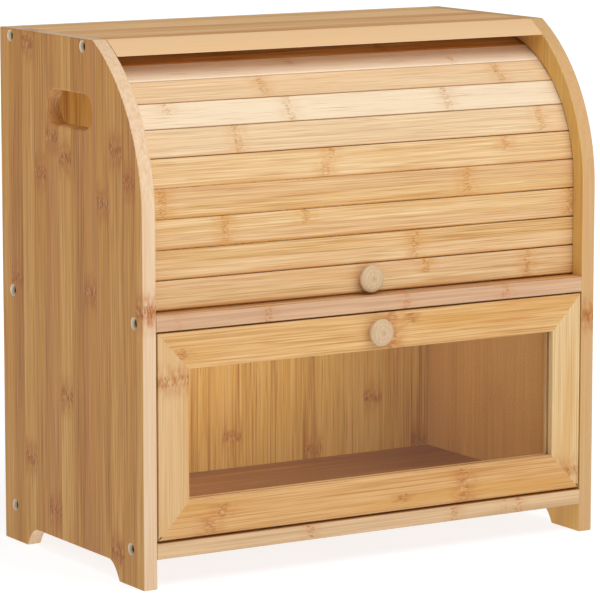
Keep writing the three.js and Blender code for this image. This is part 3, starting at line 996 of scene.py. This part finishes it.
# the roll top: slats laid along the track, each with its band of canvas
slatShape = {"gap": 0.5, "thick": 6.0, "taper": 1.1, "into": 2.9, "softFront": 1.1}
riseLength = track["bend"] - trackStart
frontArc = track["frontRadius"] * math.pi / 2
slatNodes = sorted(node for node in frame["nodes"] if node.startswith("slat_"))


def trackPoint(along):
    # a point of the track, so far along it from its lower end
    if along < riseLength:
        return Vector((trackFront, trackStart + along))
    wide, tight = track["frontRadius"], track["rearRadius"]
    if along < riseLength + frontArc:
        turn = (along - riseLength) / wide
        return Vector(frontCentre) + Vector((-math.cos(turn), math.sin(turn))) * wide
    turn = (along - riseLength - frontArc) / tight
    return Vector(rearCentre) + Vector((math.sin(turn), math.cos(turn))) * tight


def slatPlace(index):
    # a slat lies on the chord of its own stretch of track
    low, high = trackPoint(index * track["pitch"]), trackPoint((index + 1) * track["pitch"])
    middle, way = (low + high) / 2, high - low
    turn = Matrix.Rotation(-math.atan2(way.x, way.y), 4, "X")
    return Matrix.Translation(Vector((0, middle.x, middle.y)) * mm) @ turn


def slat(name):
    # outer face at Y = 0 and looking forwards, the middle at Z = 0
    s = slatShape
    half = (track["pitch"] - s["gap"]) / 2
    narrow = half - s["taper"]
    outline = eased([(0, -half), (s["thick"], -narrow), (s["thick"], narrow), (0, half)],
                    [s["softFront"], 0.5, 0.5, s["softFront"]], 6)
    reach = inner + s["into"]
    return pulled(name, outline, -reach, reach, 0.4, alongX)


bandShape = {
    "half": 176, "breadth": 20.3, "near": 6.2, "far": 6.8, "ripple": 0.05, "margin": 0.06,
    "columns": 88, "rows": 6, "screwRoom": 4.3, "weave": 1.15,
}


def canvas(name):
    f = Finish(name)
    x, y, z = f.place()
    turns = 2 * math.pi / bandShape["weave"]
    warp = (x * turns).math("SINE")
    weft = (z * turns).math("SINE")
    over = (warp * weft) * 0.5 + 0.5
    slub = f.noise(x / 7, y, z / 0.6) + f.noise(x / 0.6, y, z / 7)
    shade = f.blend(0.25 + over * 0.5 + slub * 0.8, colour(186, 172, 146), colour(222, 212, 192))
    return f.close(color=shade, roughness=0.92 + slub * 0.06, normal=f.bump(over + slub * 0.5, 0.6, 0.18))


def clothBand(name, bored):
    # a strip of canvas with gently rippled faces, and room for the knob's screw where it is bored
    b = bandShape
    columns, rows = b["columns"], b["rows"]
    mesh = bmesh.new()

    def point(row, column, face):
        u = -b["half"] + 2 * b["half"] * column / columns
        v = b["breadth"] * (row / rows - 0.5)
        ripple = b["ripple"] * math.sin(u * 0.21) * math.sin(v * 0.5 + 1)
        level = b["near"] + b["margin"] + (b["far"] - b["near"] - 2 * b["margin"]) * face + ripple
        return mesh.verts.new(Vector((u, level, v)) * mm)

    edges = []
    for face in (0, 1):
        grid = [[point(row, column, face) for column in range(columns + 1)] for row in range(rows + 1)]
        for lower, upper in zip(grid, grid[1:]):
            for column in range(columns):
                mesh.faces.new((lower[column], lower[column + 1], upper[column + 1], upper[column]))
        right, left = [line[-1] for line in grid[1:]], [line[0] for line in grid[-2:0:-1]]
        edges.append(grid[0] + right + grid[-1][-2::-1] + left)
    first, second = edges
    for index in range(len(first)):
        mesh.faces.new((first[index - 1], first[index], second[index], second[index - 1]))
    piece = toObject(name, mesh)
    if bored:
        levels = [(b["near"] - 1, 0), (b["far"] + 1, 0)]
        carved(piece, skinned("cutter", stack(circle((0, 0), b["screwRoom"], 32), levels, alongY)))
    return piece


slatLook = {
    "axes": "xzy", "strip": 11.0, "border": 0.0, "stripTone": 0.1, "seam": 0.03,
    "fine": 1.1, "mid": 0.5, "broad": 0.22, "lines": 0.5,
    "dark": colour(190, 138, 76), "middle": colour(220, 179, 124), "pale": colour(234, 206, 162),
    "blush": colour(222, 180, 142), "blushes": 0.3, "gold": colour(216, 168, 104), "golds": 0.5,
    "streak": colour(208, 146, 76), "streaks": 0.6, "rim": colour(234, 208, 168), "rimShare": 0.5,
    "knots": 0.0, "knotHalf": 3.4, "knotDark": colour(170, 112, 46), "knotTint": colour(204, 140, 66),
    "lowEdge": 0.6,
}
# each slat from the lowest up: how far painted light from above pales its colours (below zero, painted
# shade under the top board darkens them), and its joints of the cane as [place along it, lower or upper
# strip or both]
# the pale tone that painted light moves the slats towards
paintedLightTone = colour(244, 228, 202)
slatKinds = [
    (0.02, [(53, "upper"), (146, "both")]),
    (0.0, [(43, "both")]),
    (0.0, [(-123, "both"), (-54, "upper"), (186, "both")]),
    (0.0, [(-175, "both"), (90, "both")]),
    (0.1, [(-35, "lower"), (-29, "upper"), (128, "upper")]),
    (0.42, [(-105, "both"), (165, "both")]),
    (0.9, [(-157, "upper"), (-54, "both"), (86, "both")]),
    (0.4, [(-68, "both"), (144, "both")]),
    (1.25, [(-32, "upper"), (110, "lower")]),
    (-0.3, [(-120, "both"), (60, "both")]),
    (0.0, [(20, "both")]),
]
stripSides = {"lower": (-12, 0), "upper": (0, 12), "both": (-12, 12)}


def withPaintedLight(tint, paintedLight):
    # painted light pales a slat; a value below nothing darkens it instead, as painted shade
    return tuple(max(0, low + (high - low) * paintedLight * 0.75) for low, high in zip(tint, paintedLightTone))


def slatWood(name, seed, paintedLight, joints):
    marks = [(place, *stripSides[strip]) for place, strip in joints]
    # the joints fade where painted light pales a slat
    look = {**slatLook, "seed": seed, "marks": marks, "knotShade": 0.34 - 0.2 * max(0, paintedLight)}
    for tint in ("dark", "middle", "pale", "streak", "gold", "blush"):
        look[tint] = withPaintedLight(slatLook[tint], paintedLight)
    return bamboo(name, **look)


canvasFinish = canvas("cream canvas")
for index, (node, (paintedLight, joints)) in enumerate(zip(slatNodes, slatKinds)):
    place = slatPlace(index)
    wood = slatWood(node.replace("_", " "), 20.0 + index, paintedLight, joints)
    piece = fitted(moved(slat(node + "_bamboo"), place), wood, "slat_bamboo", node)
    band = node.replace("slat", "cloth_band")
    cloth = moved(clothBand(band + "_canvas", index == 0), place)
    fitted(cloth, canvasFinish, "canvas", band)

firstPlace = slatPlace(0)
rollKnob = moved(knobCarved("roll_top_knob_wood"), firstPlace)
fitted(rollKnob, knobWood("roll top knob wood", 7.0), "knob_wood", "roll_top_knob")
rollKnobScrew = moved(knobScrewShape("roll_top_knob_screw_steel", slatShape["thick"]), firstPlace)
fitted(rollKnobScrew, brightSteel, "steel", "roll_top_knob_screw")
print("roll top is in its track")


# the floor
def makeFloor():
    # pale near the object and as bright as the backdrop further out
    mesh = bmesh.new()
    bmesh.ops.create_grid(mesh, x_segments=2, y_segments=2, size=studio["floorHalf"] * mm)
    floor = toObject("floor", mesh)
    f = Finish("floor paint")
    x, y, z = f.place()
    cloud = f.noise(x / studio["floorCloud"], y / studio["floorCloud"], z)
    shade = f.blend(0.5 + cloud * 0.3, studio["floor"], studio["floorPale"])
    far = (x * x + y * y).math("SQRT").rise(*studio["floorTurn"])
    glow = f.blend(far, studio["floorNear"], studio["floorFar"])
    paint = f.close(color=shade, roughness=0.85, specular=0.1, glow=glow, glowStrength=1.0)
    floor.data.materials.append(paint)


makeFloor()
